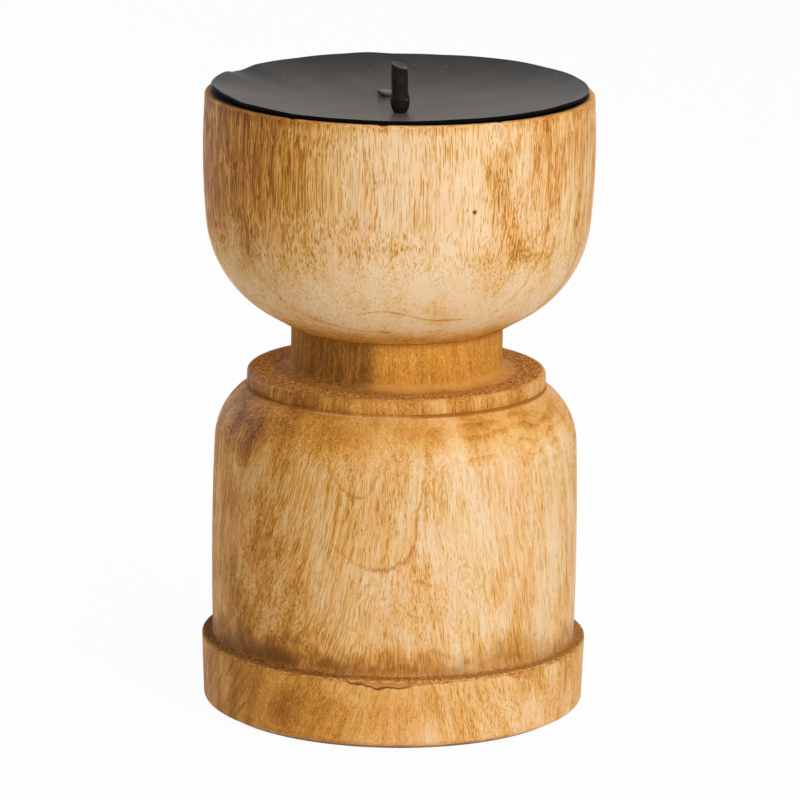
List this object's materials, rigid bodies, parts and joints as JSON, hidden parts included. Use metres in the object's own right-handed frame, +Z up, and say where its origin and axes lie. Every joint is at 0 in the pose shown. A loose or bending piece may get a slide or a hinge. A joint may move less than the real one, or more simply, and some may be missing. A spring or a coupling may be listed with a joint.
{
  "type": "pricket candle stand",
  "caption": "Turned wooden pillar-candle stand with a bowl-shaped top, waisted neck and barrel base, topped by a dished black iron drip pan with a short spike.",
  "frame": {"origin": "middle of the standing face", "axes": "+Z up along the turned axis, -Y the front, +X to the right seen from the front"},
  "size_m": [0.1, 0.1, 0.1677],
  "materials": {
    "base_wood": "oiled, swirling grain",
    "cup_wood": "oiled, fine straight grain",
    "dowel_wood": "bare",
    "black_iron": "satin black"
  },
  "bodies": {
    "root": {"base": "base_wood", "cup": "cup_wood", "joining_dowel": "dowel_wood", "drip_pan": "black_iron", "pricket_spike": "black_iron", "pan_nail": "black_iron"}
  },
  "joints": []
}
